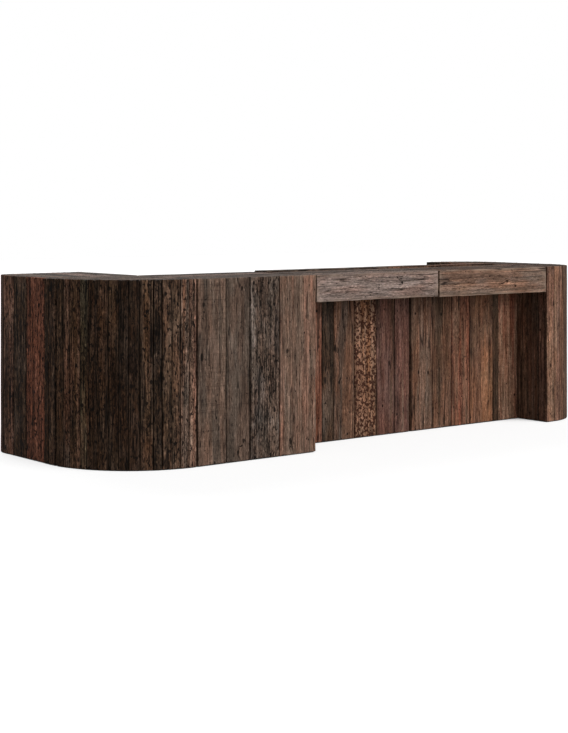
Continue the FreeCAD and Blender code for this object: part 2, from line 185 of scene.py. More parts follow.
# Dressed nodes: way the face looks (two signs mean a round corner), grain axis, axis of order and its
# sign, board tones
dressed = {
    "wing_side_boards": ((-1, 0, 0), "z", "y", -1, wing_side_tones),
    "wing_corner_staves": ((-1, 1, 0), "z", "y", 1, mixed_tones),
    "wing_rear_boards": ((0, 1, 0), "z", "x", 1, mixed_tones[3:] + mixed_tones[:3]),
    "corner_staves": ((-1, -1, 0), "z", "x", 1, corner_tones_and_shade),
    "pod_front_boards": ((0, -1, 0), "z", "x", 1, pod_tones),
    "pod_return_boards": ((1, 0, 0), "z", "y", 1, ["earth umber", "russet earth", "ash umber"]),
    "left_bay_boards": ((0, -1, 0), "z", "x", 1, left_bay_tones),
    "right_bay_boards": ((0, -1, 0), "z", "x", 1, right_bay_tones),
    "left_drawer_front": ((0, -1, 0), "x", "x", 1, ["drab drab"]),
    "right_drawer_front": ((0, -1, 0), "x", "x", 1, ["honey ash"]),
    "end_front_staves": ((1, -1, 0), "z", "x", 1, end_front_tones),
    "end_outer_boards": ((1, 0, 0), "z", "y", 1, ["earth ash", "ash umber", "russet earth"]),
    "end_rear_staves": ((1, 1, 0), "z", "y", 1, mixed_tones),
    "end_inner_boards": ((-1, 0, 0), "z", "y", -1, end_inner_tones),
    "wing_top_boards": ((0, 0, 1), "y", "x", 1, top_tones),
    "corner_top_boards": ((0, 0, 1), "x", "y", 1, top_tones[1:] + top_tones[:1]),
    "pod_top_boards": ((0, 0, 1), "x", "y", 1, top_tones),
    "left_bay_top_boards": ((0, 0, 1), "x", "y", 1, top_tones[2:] + top_tones[:2]),
    "right_bay_top_boards": ((0, 0, 1), "x", "y", 1, right_top_tones),
    "end_top_boards": ((0, 0, 1), "y", "x", 1, dark_top_tones),
}

# Wear of single boards, and of the others
wormy = {("left_bay_boards", 4): 1.0, ("end_front_staves", 0): 0.3}
weathered = {
    ("pod_front_boards", 2): 0.9, ("left_bay_boards", 2): 0.3, ("wing_side_boards", 1): 0.3,
    ("left_drawer_front", 0): 0.5, ("right_drawer_front", 0): 0.6, ("right_bay_boards", 1): 0.25,
}
plain_weather = 0.15
sawn = {("pod_front_boards", 0): 1.0, ("pod_front_boards", 1): 0.6, ("right_bay_boards", 5): 0.8}
plain_saw = 0.25
# The drawer fronts' rims and pod board 3's edges are lightened both as wear and as painted highlight on
# their eased edges
rubbed_and_highlit_edges = {  # share, and reach in metres
    ("left_drawer_front", 0): (1.0, 0.010),
    ("right_drawer_front", 0): (1.0, 0.012),
    ("pod_front_boards", 3): (0.6, 0.005),
}
plain_rub = (0.12, wear_reach)
open_seams = {  # room in metres at a board's left and right edge, seen from outside
    ("wing_side_boards", 0): (0.0, 0.002),
    ("wing_side_boards", 2): (0.002, 0.003),
    ("wing_side_boards", 4): (0.0, 0.008),
    ("corner_staves", 0): (0.006, 0.001),
    ("corner_staves", 1): (0.001, 0.0015),
    ("corner_staves", 3): (0.0015, 0.001),
    ("corner_staves", 5): (0.0015, 0.0015),
    ("corner_staves", 6): (0.001, 0.0),
    ("corner_staves", 8): (0.001, 0.002),
    ("corner_staves", 9): (0.0015, 0.0015),
    ("corner_staves", 10): (0.001, 0.002),
    ("corner_staves", 11): (0.0015, 0.0),
    ("corner_staves", 14): (0.0, 0.0035),
    ("pod_front_boards", 0): (0.0035, 0.0),
    ("pod_front_boards", 1): (0.0, 0.002),
    ("pod_front_boards", 2): (0.003, 0.0015),
    ("left_bay_boards", 6): (0.0, 0.008),
    ("right_bay_boards", 0): (0.008, 0.0),
}
figure = {  # how strongly the grain shows
    "wing_side_boards": 2.3, "corner_staves": 2.1, "pod_front_boards": 1.05,
    "left_drawer_front": 1.15, "right_drawer_front": 1.1,
    "wing_top_boards": 2.0, "corner_top_boards": 1.9, "pod_top_boards": 1.6,
    "left_bay_top_boards": 2.2, "right_bay_top_boards": 2.4, "end_top_boards": 1.9,
}
plain_figure = 1.15
top_wear = (0.6, 0.7)  # roughness and edge grime with painted shade, as shares of a wide board's
stave_wear = (0.55, 0.9)
board_wear = (1.0, 1.0)
rough_boards = {  # how strongly the grain shows on single boards
    ("pod_front_boards", 2): 1.9, ("left_bay_boards", 2): 1.5, ("right_bay_boards", 2): 1.4,
    ("wing_side_boards", 1): 3.0, ("wing_side_boards", 3): 3.4, ("wing_side_boards", 4): 3.2,
    ("corner_staves", 10): 3.2,
}
knots = {  # places of dark knots, as shares of a board's width and length
    ("wing_side_boards", 2): [(0.45, 0.2), (0.5, 0.14)],
    ("corner_staves", 2): [(0.4, 0.84), (0.55, 0.38)],
    ("pod_front_boards", 0): [(0.2, 0.86)],
    ("pod_front_boards", 1): [(0.72, 0.11), (0.5, 0.05), (0.66, 0.94)],
    ("pod_front_boards", 2): [(0.08, 0.93), (0.8, 0.95)],
    ("pod_front_boards", 3): [(0.2, 0.58), (0.3, 0.07)],
    ("left_bay_boards", 3): [(0.25, 0.4)],
    ("right_bay_boards", 0): [(0.33, 0.42), (0.78, 0.41)],
    ("right_drawer_front", 0): [(0.5, 0.62)],
    ("end_front_staves", 0): [(0.55, 0.36)],
}
nowhere = 9.0  # metres, farther than any board is long

axes = {"x": np.array([1.0, 0.0, 0.0]), "y": np.array([0.0, 1.0, 0.0]), "z": np.array([0.0, 0.0, 1.0])}


def linear(name):
    """A tone as a linear colour, by the sRGB formula."""
    shares = [c / 255 for c in tones[name]]
    return [c / 12.92 if c < 0.04045 else ((c + 0.055) / 1.055) ** 2.4 for c in shares]


def split_solids(name):
    """The solids of a node: for each one its points and its triangles."""
    mesh = frame["nodes"][name].data
    mesh.calc_loop_triangles()
    points = np.empty(3 * len(mesh.vertices))
    mesh.vertices.foreach_get("co", points)
    points, place = np.unique(np.round(points.reshape(-1, 3), same_place), axis=0, return_inverse=True)
    corners = np.empty(3 * len(mesh.loop_triangles), dtype=np.int64)
    mesh.loop_triangles.foreach_get("vertices", corners)
    triangles = place.ravel()[corners].reshape(-1, 3)
    label = np.arange(len(points))
    while True:
        lowest = label[triangles].min(axis=1)
        spread = label.copy()
        for k in range(3):
            np.minimum.at(spread, triangles[:, k], lowest)
        if (spread == label).all():
            break
        label = spread
    solids = []
    for one in np.unique(label):
        own = triangles[label[triangles[:, 0]] == one]
        used, corner = np.unique(own, return_inverse=True)
        solids.append((points[used], corner.reshape(-1, 3)))
    return solids


def facing(points, triangles, way):
    """The normal of a solid's largest face among those that look a given way."""
    a, b, c = (points[triangles[:, k]] for k in range(3))
    normal = np.cross(b - a, c - a)
    area = np.linalg.norm(normal, axis=1)
    unit = normal / area[:, None]
    total = {}
    for n, size in zip(unit, area):
        if n @ way > front_share:
            key = tuple(np.round(n, same_way))
            total[key] = total.get(key, 0.0) + size
    best = np.array(max(total, key=total.get))
    return best / np.linalg.norm(best)


def grid_lines(length, step):
    """Lines over a length: close together at both ends, even between."""
    first = edge_lines[-1]
    count = max(2, round((length - 2 * first) / step))
    middle = np.linspace(first, length - first, count + 1)
    return np.concatenate((edge_lines[:-1], middle, length - edge_lines[-2::-1]))


def reach(outline, rows):
    """Where a convex outline begins and ends along the grain, at each row."""
    u, v = outline.T
    i, j = np.nonzero(u[None, :] - u[:, None] > least_run)
    run = u[j] - u[i]
    ends = []
    for row in np.clip(rows, u.min(), u.max()):
        share = (row - u[i]) / run
        on = (share >= -least_share) & (share <= 1 + least_share)
        value = v[i[on]] + share[on] * (v[j[on]] - v[i[on]])
        ends.append((value.min(), value.max()))
    return np.array(ends).T


def waves(draw, s, t, across, along, count=7):
    """A smooth random field, about -1 to 1, from a few cosines of given wavelengths."""
    total = np.zeros(np.broadcast(s, t).shape)
    for _ in range(count):
        fs = draw.normal() / across if across else 0.0
        ft = draw.normal() / along if along else 0.0
        total = total + np.cos(2 * math.pi * (fs * s + ft * t) + draw.uniform(0, 2 * math.pi))
    return total / math.sqrt(count)


def rim_places(rows, columns):
    """Rows and columns of the places round the rim of a grid, in order."""
    rim = [(i, 0) for i in range(rows)]
    rim += [(rows - 1, j) for j in range(1, columns)]
    rim += [(i, columns - 1) for i in range(rows - 2, -1, -1)]
    rim += [(0, j) for j in range(columns - 2, 0, -1)]
    return tuple(np.array(rim).T)


def closed_faces(shape, rim):
    """Faces of a grid, of the sides from its rim to the points behind, and of the back."""
    number = np.arange(math.prod(shape)).reshape(shape)
    quads = np.stack((number[:-1, :-1], number[1:, :-1], number[1:, 1:], number[:-1, 1:]), axis=-1)
    faces = quads.reshape(-1, 4).tolist()
    loop = number[rim].tolist()
    hind = list(range(number.size, number.size + len(loop)))
    for k in range(len(loop)):
        m = (k + 1) % len(loop)
        faces.append([loop[m], loop[k], hind[k], hind[m]])
    faces.append(hind[::-1])
    return faces


def face_drop(draw, s, t, rim, rough):
    """How far a worn face lies behind its solid's: round and bitten edges, setback and warp."""
    radius = edge_radius * rough * (1 + swell_share * waves(draw, s * 0, t, *swell_waves))
    bite = np.clip(waves(draw, s, t, *bite_waves) - bite_start, 0, 1) * edge_bite * rough
    radius = np.clip(radius, edge_radius * least_radius_share, None) + bite
    gap = np.clip(1 - rim / radius, 0, 1)
    drop = radius * (1 - np.sqrt(np.clip(1 - gap ** 2, 0, 1)))
    drop += rough * face_setback * draw.uniform(0, 1)
    drop += rough * face_warp * (1 + waves(draw, s, t, *warp_waves))
    return np.clip(drop, 0, None)


def edge_shift(gap, size, field):
    """How far an uneven edge lies inside its solid's, fading away from the edge."""
    return np.clip(np.exp(-gap / edge_fade) * size * (1 + field), 0, None)


def edge_marks(draw, s, t, side, edge, end, wear):
    """Grime with painted shade along a board's long edges, and rubbed wood round its rim (with painted
    highlight on some boards), from 0 to 1.
    """
    patches = rub_shares[0] + rub_shares[1] * waves(draw, s, t, *rub_waves)
    rubbed_and_highlit = np.exp(-np.minimum(edge, end) / wear) * np.clip(patches, 0, 1)
    spread = grime_and_shade_reach * np.clip(1 + spread_share * waves(draw, side, t, *spread_waves), *spread_limits)
    patches = grime_and_shade_shares[0] + grime_and_shade_shares[1] * waves(draw, side, t, *grime_and_shade_waves)
    # Grime and painted shade along the long edges
    grime_and_shade = np.exp(-edge / spread) * np.clip(patches, 0, 1)
    return grime_and_shade, rubbed_and_highlit


def board(points, triangles, way, along, draw, rough, seams, wear):
    """One worn board in the place of a solid: points, faces, grain places and rim marks."""
    normal = facing(points, triangles, way)
    turn = np.array([np.cross(along, normal), along, normal])
    local = points @ turn.T
    face_d = local[:, 2].max()
    back_d = local[:, 2].min()
    front = local[local[:, 2] > face_d - face_depth]
    back = local[local[:, 2] < back_d + back_depth]
    u0 = front[:, 0].min() + seams[0]
    u1 = front[:, 0].max() - seams[1]
    b0, b1 = back[:, 0].min(), back[:, 0].max()
    width = u1 - u0
    rows = grid_lines(width, grid_across)
    low, high = reach(front[:, :2], u0 + rows)
    columns = grid_lines((high - low).max(), grid_along) / (high - low).max()
    s = np.repeat(rows[:, None], len(columns), axis=1)
    length = (high - low)[:, None]
    t = columns[None, :] * length
    edge = np.minimum(s, width - s)
    end = np.minimum(t, length - t)
    side = np.where(s < width / 2, 1.0, -1.0)
    tip = np.where(t < length / 2, 1.0, -1.0)
    d = face_d - face_drop(draw, s, t, np.minimum(edge, end), rough)
    edge_size = rough * edge_wander * edge_wander_share
    u = u0 + s + side * edge_shift(edge, edge_size, waves(draw, side, t, *edge_waves))
    end_size = rough * end_wander * end_wander_share
    v = low[:, None] + t + tip * edge_shift(end, end_size, waves(draw, s, tip, *end_waves))
    rim = rim_places(*u.shape)
    back_u = b0 + s[rim] * ((b1 - b0) / width)
    back_v = low[rim[0]] + t[rim]
    behind = np.stack((back_u, back_v, np.full(len(back_u), back_d)), axis=1)
    uvd = np.concatenate((np.stack((u.ravel(), v.ravel(), d.ravel()), axis=1), behind))
    grime_and_shade, rubbed_and_highlit = edge_marks(draw, s, t, side, edge, end, wear)
    marks = np.stack((grime_and_shade.ravel(), rubbed_and_highlit.ravel(), 0 * grime_and_shade.ravel()), axis=1)
    marks = np.concatenate((marks, np.tile(shaded_back_marks, (len(behind), 1))))
    return uvd @ turn, closed_faces(u.shape, rim), uvd - [u0, low.min(), face_d], marks


def from_knot(uvd, places):
    """The way from the nearest knot to each point of a board."""
    size = uvd[:, :2].max(axis=0)
    nearest = np.full((len(uvd), 3), nowhere)
    for share in places:
        way = uvd * [1.0, 1.0, 0.0] - [share[0] * size[0], share[1] * size[1], 0.0]
        closer = np.linalg.norm(way, axis=1) < np.linalg.norm(nearest, axis=1)
        nearest[closer] = way[closer]
    return nearest


# Noise patterns: cycles per metre along three axes, detail, roughness and, for some, distortion. A board's
# axes run across, along and through it.
patterns = {
    "fine": ((190.0, 45.0, 190.0), 3.0, 0.7),
    "fibre": ((125.0, 4.2, 125.0), 4.0, 0.66),
    "band": ((38.0, 1.5, 38.0), 3.0, 0.6),
    "streak": ((17.0, 0.7, 17.0), 3.0, 0.6, 0.3),
    "patch": ((7.0, 3.2, 7.0), 4.0, 0.62),
    "dash": ((150.0, 12.0, 150.0), 3.0, 0.66),
    "speck": ((85.0, 34.0, 85.0), 2.0, 0.5),
    "scratch": ((170.0, 11.0, 170.0), 2.0, 0.5),
    "split": ((15.0, 0.6, 15.0), 3.0, 0.5),
    "tint": ((11.0, 2.4, 11.0), 3.0, 0.6, 0.4),
    "saw": ((3.0, 105.0, 3.0), 3.0, 0.6),
    "worm": ((68.0, 56.0, 68.0), 1.0, 0.5, 0.3),
    "stile": ((90.0, 90.0, 4.0), 4.0, 0.6),
    "rail": ((4.0, 4.0, 90.0), 4.0, 0.6),
    "worn": ((6.0, 6.0, 6.0), 4.0, 0.6),
    "sheet_x": ((30.0, 2.0, 45.0), 4.0, 0.6),
    "sheet_y": ((2.0, 30.0, 45.0), 4.0, 0.6),
    "sheet_z": ((2.0, 45.0, 30.0), 4.0, 0.6),
    "mottle": ((5.0, 5.0, 5.0), 3.0, 0.55),
    "blotch": ((60.0, 60.0, 60.0), 4.0, 0.6),
    "scuff": ((400.0, 14.0, 400.0), 2.0, 0.5),
    "pebble": ((900.0, 900.0, 900.0), 2.0, 0.5),
    "dust": ((40.0, 40.0, 40.0), 4.0, 0.6),
}

# Levels of noise at which a mark begins and is full
levels = {
    "dash": (0.58, 0.65),
    "fleck": (0.38, 0.34),
    "scratch": (0.62, 0.72),
    "pit": (0.76, 0.795),
    "crack": (0.46, 0.54),
    "bare": (0.44, 0.62),
    "streak": (0.42, 0.6),
    "tint": (0.38, 0.62),
    "saw": (0.46, 0.74),
    "worm": (0.495, 0.535),
    "blotch": (0.35, 0.65),
    "dust": (0.4, 0.7),
}
noise_span = (0.3, 0.7)  # where most of a noise pattern lies
full_span = (0.0, 1.0)
noise_middle = 0.5

# Light of a board's patterns: the pattern's span, and the change at both ends as shares of contrast
grain_lights = {
    "fine": (noise_span, -0.6, 0.6),
    "fibre": (noise_span, -0.8, 0.8),
    "band": ((0.32, 0.68), -0.45, 0.4),
    "scratch": (full_span, 0.0, 1.0),
    "fleck": (full_span, 0.0, 0.8),
}

# The same with the light itself at both ends
mark_lights = {
    "patch": (noise_span, 0.82, 1.16),
    "saw": (full_span, 1.0, 0.72),
    "dash": (full_span, 1.05, 0.32),
}
least_light = 0.06

# Knots and nail holes: cells per metre, and wobbles in cycles per metre with their reach in metres
knot_wobble = ((70.0, 45.0, 1.0), (0.009, 0.014, 0.0))
knot_squeeze = (1.0, 0.62, 0.0)
knot_reach = 0.034
knot_core = (0.011, 0.006)
small_knot_wobble = ((40.0, 40.0, 1.0), (0.016, 0.03, 0.0))
small_knot_cells = (5.2, 2.1, 1.0)
small_knot_chance = (0.82, 0.84)  # a cell's random level from which it holds a knot
small_knot_reach = 0.3  # shares of a cell
small_knot_core = (0.07, 0.035)
nail_wobble = ((120.0, 60.0, 1.0), (0.007, 0.014, 0.0))
nail_cells = (12.0, 8.0, 1.0)
nail_rim = 0.02  # shares of a cell
least_nail = (0.001, 0.004)
grain_bend = 0.014  # metres that the grain gives way round a knot
crack_width = (0.016, 0.005)  # levels of noise on both sides of its middle

# What grows with the strength of a board's figure: two strengths, and the value at each
crack_depth = (0.7, 1.15, 0.3, 0.9)
nail_size = (0.75, 1.6, 0.045, 0.1)
nail_start = (0.9, 1.7, 0.86, 0.6)
pit_boost = (1.0, 2.2, 0.076, 0.167)

# What changes with a board's grain: two levels of noise, and the value at each
grime_and_shade_grain = (0.35, 0.6, 1.0, 0.55)
rub_grain = (0.3, 0.6, 0.45, 0.95)
board_roughness = (0.3, 0.75, 0.85, 0.66)
board_heights = {"fine": 0.5, "fibre": 0.7, "dash": -0.5, "saw": -0.25}  # shares of the relief

# How well a layer covers what lies under it
silver_cover = 0.6
knot_cover = 0.88
hole_and_shade_cover = 0.92
worm_cover = 0.92
ply_line_cover = 0.6
dust_cover = 0.5

# Surface detail: strength, and depth in metres
board_relief = (0.8, 0.003)
frame_relief = (0.45, 0.0015)
sheet_relief = (0.35, 0.0008)
metal_relief = (0.2, 0.0003)
nylon_relief = (0.3, 0.0003)

# Where a sheet's edge begins: share of its normal along its thin axis, on its faces and on its edges
edge_turn = (0.7, 0.3)

# Thin layers, in metres
rail_blend = 0.001
ply_layer = 0.0018
ply_line = (0.0006, 0.0012)

# Linear colours
warm_tint = (1.06, 0.98, 0.94, 1.0)
cool_tint = (0.95, 1.01, 1.03, 1.0)
silver_wood = (0.086, 0.073, 0.065)
# Light wood of rubbed rims, also used as painted highlight on eased edges
rubbed_and_highlit_wood = (0.30, 0.215, 0.16, 1.0)
knot_black = (0.006, 0.004, 0.003, 1.0)
# Dark of holes and cracks, and of the grime and painted shade at the seams
crevice_and_shade_black = (0.004, 0.003, 0.0025, 1.0)
worm_brown = (0.03, 0.010, 0.006, 1.0)
frame_tone = (0.085, 0.055, 0.037)
ply_tone = (0.13, 0.092, 0.064)
dark_tone = (0.075, 0.05, 0.033)
ply_edge = (0.055, 0.03, 0.016, 1.0)
zinc_tones = ((0.42, 0.43, 0.44, 1.0), (0.60, 0.61, 0.62, 1.0))
nylon_tones = ((0.012, 0.012, 0.013, 1.0), (0.05, 0.048, 0.045, 1.0))
white = (1.0, 1.0, 1.0, 1.0)


class Shader:
    """Short calls for a material's nodes."""

    def __init__(self, name):
        self.material = bpy.data.materials.new(name)
        self.material.use_nodes = True
        self.tree = self.material.node_tree
        self.surface = self.tree.nodes["Principled BSDF"]

    def node(self, kind, **settings):
        made = self.tree.nodes.new(kind)
        for key, value in settings.items():
            setattr(made, key, value)
        return made

    def put(self, socket, value):
        """Link a socket to another, or set its value."""
        if isinstance(value, bpy.types.NodeSocket):
            self.tree.links.new(value, socket)
        else:
            socket.default_value = value

    def attribute(self, name, output):
        return self.node("ShaderNodeAttribute", attribute_name=name).outputs[output]

    def vector(self, operation, a, b):
        made = self.node("ShaderNodeVectorMath", operation=operation)
        self.put(made.inputs[0], a)
        self.put(made.inputs[1], b)
        return made.outputs[0]

    def math(self, operation, a, b=0.0):
        made = self.node("ShaderNodeMath", operation=operation)
        self.put(made.inputs[0], a)
        self.put(made.inputs[1], b)
        return made.outputs[0]

    def parts(self, vector):
        made = self.node("ShaderNodeSeparateXYZ")
        self.put(made.inputs[0], vector)
        return made.outputs

    def noise(self, vector, stretch, detail, roughness, distortion=0.0):
        made = self.node("ShaderNodeTexNoise")
        self.put(made.inputs["Vector"], self.vector("MULTIPLY", vector, stretch))
        made.inputs["Scale"].default_value = 1.0
        made.inputs["Detail"].default_value = detail
        made.inputs["Roughness"].default_value = roughness
        made.inputs["Distortion"].default_value = distortion
        return made.outputs[0]

    def pattern(self, vector, name):
        return self.noise(vector, *patterns[name])

    def mark(self, vector, name):
        """A pattern's noise between its two levels, from 0 to 1."""
        return self.ramp(self.pattern(vector, name), *levels[name])

    def wander(self, vector, stretch, amount):
        """The same place, moved a little in a random direction."""
        made = self.node("ShaderNodeTexNoise")
        self.put(made.inputs["Vector"], self.vector("MULTIPLY", vector, stretch))
        made.inputs["Scale"].default_value = 1.0
        shift = self.vector("SUBTRACT", made.outputs["Color"], [noise_middle] * 3)
        return self.vector("ADD", vector, self.vector("MULTIPLY", shift, amount))

    def cells(self, vector, stretch):
        made = self.node("ShaderNodeTexVoronoi", voronoi_dimensions="2D", feature="F1")
        self.put(made.inputs["Vector"], self.vector("MULTIPLY", vector, stretch))
        made.inputs["Scale"].default_value = 1.0
        return made.outputs

    def ramp(self, value, start, stop, low=0.0, high=1.0):
        made = self.node("ShaderNodeMapRange", interpolation_type="SMOOTHSTEP")
        for socket, entry in zip(made.inputs, (value, start, stop, low, high)):
            self.put(socket, entry)
        return made.outputs[0]

    def mix(self, factor, a, b, blend="MIX"):
        made = self.node("ShaderNodeMix", data_type="RGBA", blend_type=blend)
        for index, entry in ((0, factor), (6, a), (7, b)):
            self.put(made.inputs[index], entry)
        return made.outputs[2]

    def scaled(self, colour, level):
        """A colour made lighter or darker."""
        made = self.node("ShaderNodeVectorMath", operation="SCALE")
        self.put(made.inputs[0], colour)
        self.put(made.inputs["Scale"], level)
        return made.outputs[0]

    def bump(self, height, strength, distance):
        made = self.node("ShaderNodeBump")
        made.inputs["Strength"].default_value = strength
        made.inputs["Distance"].default_value = distance
        self.put(made.inputs["Height"], height)
        self.put(self.surface.inputs["Normal"], made.outputs[0])

    def finish(self, colour, roughness):
        self.put(self.surface.inputs["Base Color"], colour)
        self.put(self.surface.inputs["Roughness"], roughness)
        return self.material


def knot_marks(sh, grain):
    """How near a knot is, and how far a point lies in its dark core, both from 0 to 1."""
    own_way = sh.wander(sh.attribute("knot", "Vector"), *knot_wobble)
    own_length = sh.node("ShaderNodeVectorMath", operation="LENGTH")
    sh.put(own_length.inputs[0], sh.vector("MULTIPLY", own_way, knot_squeeze))
    own_distance = own_length.outputs["Value"]
    small = sh.cells(sh.wander(grain, *small_knot_wobble), small_knot_cells)
    has_small = sh.ramp(sh.parts(small["Color"])[0], *small_knot_chance)
    small_near = sh.math("MULTIPLY", sh.ramp(small["Distance"], small_knot_reach, 0.0), has_small)
    small_core = sh.math("MULTIPLY", sh.ramp(small["Distance"], *small_knot_core), has_small)
    near = sh.math("MAXIMUM", small_near, sh.ramp(own_distance, knot_reach, 0.0))
    core = sh.math("MAXIMUM", small_core, sh.ramp(own_distance, *knot_core))
    return near, core


def crack_marks(sh, flow, patch, strength):
    """Long drying cracks, in patches, deeper on boards with a strong figure."""
    split = sh.math("ABSOLUTE", sh.math("SUBTRACT", sh.pattern(flow, "split"), noise_middle))
    crack = sh.math("MULTIPLY", sh.ramp(split, *crack_width), sh.ramp(patch, *levels["crack"]))
    return sh.math("MULTIPLY", crack, sh.ramp(strength, *crack_depth))


def nail_marks(sh, grain, strength):
    """Nail holes, more and larger ones on boards with a strong figure."""
    cell = sh.cells(sh.wander(grain, *nail_wobble), nail_cells)
    size = sh.ramp(strength, *nail_size)
    start = sh.ramp(strength, *nail_start)
    kept = sh.ramp(sh.parts(cell["Color"])[1], start, 1.0, 0.0, size)
    nail = sh.ramp(sh.math("SUBTRACT", cell["Distance"], kept), nail_rim, 0.0)
    return sh.math("MULTIPLY", nail, sh.ramp(kept, *least_nail))


def board_light(sh, fields, contrast, strength):
    """How light a board is at each point, as a factor of its tone."""
    light = 1.0
    for title, (span, first, last) in grain_lights.items():
        level = sh.ramp(fields[title], *span, 1.0 + contrast * first, 1.0 + contrast * last)
        light = sh.math("MULTIPLY", light, level)
    for title, (span, first, last) in mark_lights.items():
        light = sh.math("MULTIPLY", light, sh.ramp(fields[title], *span, first, last))
    change = sh.math("MULTIPLY", sh.math("SUBTRACT", light, 1.0), strength)
    return sh.math("MAXIMUM", sh.math("ADD", change, 1.0), least_light)


def board_material(name, contrast, gloss):
    """Old boards: fibres, streaks, knots, cracks, nail holes, worm marks, grime with painted shade at the
    seams and sides, and rubbed edges with painted highlight on some.
    """
    sh = Shader(name)
    grain = sh.attribute("grain", "Vector")
    weather, saw_amount, worm_amount = sh.parts(sh.attribute("surface", "Vector"))[:3]
    grime_and_shade, rub_and_highlight, strength = sh.parts(sh.attribute("rim", "Vector"))[:3]
    near_knot, core = knot_marks(sh, grain)
    bend = sh.node("ShaderNodeCombineXYZ")
    sh.put(bend.inputs[0], sh.math("MULTIPLY", near_knot, grain_bend))
    flow = sh.vector("ADD", grain, bend.outputs[0])
    fields = {title: sh.pattern(flow, title) for title in ("fine", "fibre", "band", "speck")}
    fields.update({title: sh.mark(flow, title) for title in ("dash", "scratch")})
    fields["patch"] = sh.pattern(grain, "patch")
    fields["fleck"] = sh.ramp(fields["speck"], *levels["fleck"])
    fields["saw"] = sh.math("MULTIPLY", sh.mark(grain, "saw"), saw_amount)
    worm = sh.math("MULTIPLY", sh.mark(grain, "worm"), worm_amount)
    pit = sh.math("ADD", fields["speck"], sh.ramp(strength, *pit_boost))
    hole = sh.math("MAXIMUM", nail_marks(sh, grain, strength), sh.ramp(pit, *levels["pit"]))
    hole = sh.math("MAXIMUM", hole, crack_marks(sh, flow, fields["patch"], strength))
    light = board_light(sh, fields, contrast, strength)
    main = sh.attribute("tone", "Color")
    colour = sh.mix(sh.mark(flow, "streak"), main, sh.attribute("tone_two", "Color"))
    tint = sh.mix(sh.mark(flow, "tint"), warm_tint, cool_tint)
    colour = sh.scaled(sh.mix(1.0, colour, tint, "MULTIPLY"), light)
    silver = sh.math("MULTIPLY", weather, silver_cover)
    silver = sh.math("MULTIPLY", sh.ramp(fields["patch"], *levels["bare"]), silver)
    # Darkening along the edges and on the sides and back: grime and painted shade
    dirt_and_shade = sh.math("MULTIPLY", grime_and_shade, sh.ramp(fields["fine"], *grime_and_shade_grain))
    for cover, layer in (
        (silver, sh.scaled(silver_wood, light)),
        (sh.math("MULTIPLY", rub_and_highlight, sh.ramp(fields["fibre"], *rub_grain)), rubbed_and_highlit_wood),
        (sh.math("MULTIPLY", core, knot_cover), knot_black),
        (sh.math("MULTIPLY", sh.math("MAXIMUM", hole, dirt_and_shade), hole_and_shade_cover), crevice_and_shade_black),
        (sh.math("MULTIPLY", worm, worm_cover), worm_brown),
    ):
        colour = sh.mix(cover, colour, layer)
    height = sh.math("MULTIPLY", sh.math("MAXIMUM", hole, worm), -1.0)
    for title, depth in board_heights.items():
        height = sh.math("ADD", height, sh.math("MULTIPLY", fields[title], depth))
    sh.bump(height, *board_relief)
    sh.surface.inputs["Specular IOR Level"].default_value = gloss
    return sh.finish(colour, sh.ramp(fields["fibre"], *board_roughness))


def frame_material(name, base, rail_low, rail_high):
    """Stained wood: grain runs up, and along the rails above and below two heights."""
    fibre_light = (0.6, 1.3)
    worn_light = (0.8, 1.25)
    roughness = (0.68, 0.5)
    sh = Shader(name)
    place = sh.node("ShaderNodeTexCoord").outputs["Object"]
    height = sh.parts(place)[2]
    top_rail = sh.ramp(height, rail_high, rail_high + rail_blend)
    rail = sh.math("MAXIMUM", top_rail, sh.ramp(height, rail_low, rail_low - rail_blend))
    upright = sh.pattern(place, "stile")
    across = sh.math("SUBTRACT", sh.pattern(place, "rail"), upright)
    fibre = sh.math("ADD", upright, sh.math("MULTIPLY", rail, across))
    light = sh.ramp(sh.pattern(place, "worn"), *noise_span, *worn_light)
    light = sh.math("MULTIPLY", sh.ramp(fibre, *noise_span, *fibre_light), light)
    sh.bump(fibre, *frame_relief)
    return sh.finish(sh.scaled(base, light), sh.ramp(fibre, *noise_span, *roughness))


def sheet_material(name, axis, base):
    """Sheet board: long faint grain on its faces and thin layers at its edges."""
    grain_light = (0.8, 1.12)
    mottle_light = (0.88, 1.08)
    roughness = (0.66, 0.5)
    sh = Shader(name)
    place = sh.node("ShaderNodeTexCoord").outputs["Object"]
    grain = sh.pattern(place, "sheet_" + axis)
    index = "xyz".index(axis)
    normal = sh.parts(sh.node("ShaderNodeNewGeometry").outputs["True Normal"])[index]
    edge = sh.ramp(sh.math("ABSOLUTE", normal), *edge_turn)
    layer = sh.math("PINGPONG", sh.parts(place)[index], ply_layer)
    stripe = sh.math("MULTIPLY", sh.ramp(layer, *ply_line), edge)
    light = sh.ramp(sh.pattern(place, "mottle"), *noise_span, *mottle_light)
    light = sh.math("MULTIPLY", sh.ramp(grain, *noise_span, *grain_light), light)
    colour = sh.mix(sh.math("MULTIPLY", stripe, ply_line_cover), sh.scaled(base, light), ply_edge)
    sh.bump(sh.math("SUBTRACT", grain, stripe), *sheet_relief)
    return sh.finish(colour, sh.ramp(grain, *noise_span, *roughness))


def metal_material(name):
    """Zinc-plated steel with faint blotches and scuffs."""
    roughness = (0.46, 0.32)
    sh = Shader(name)
    place = sh.node("ShaderNodeTexCoord").outputs["Object"]
    blotch = sh.pattern(place, "blotch")
    colour = sh.mix(sh.ramp(blotch, *levels["blotch"]), *zinc_tones)
    sh.surface.inputs["Metallic"].default_value = 1.0
    sh.bump(sh.pattern(place, "scuff"), *metal_relief)
    return sh.finish(colour, sh.ramp(blotch, *noise_span, *roughness))


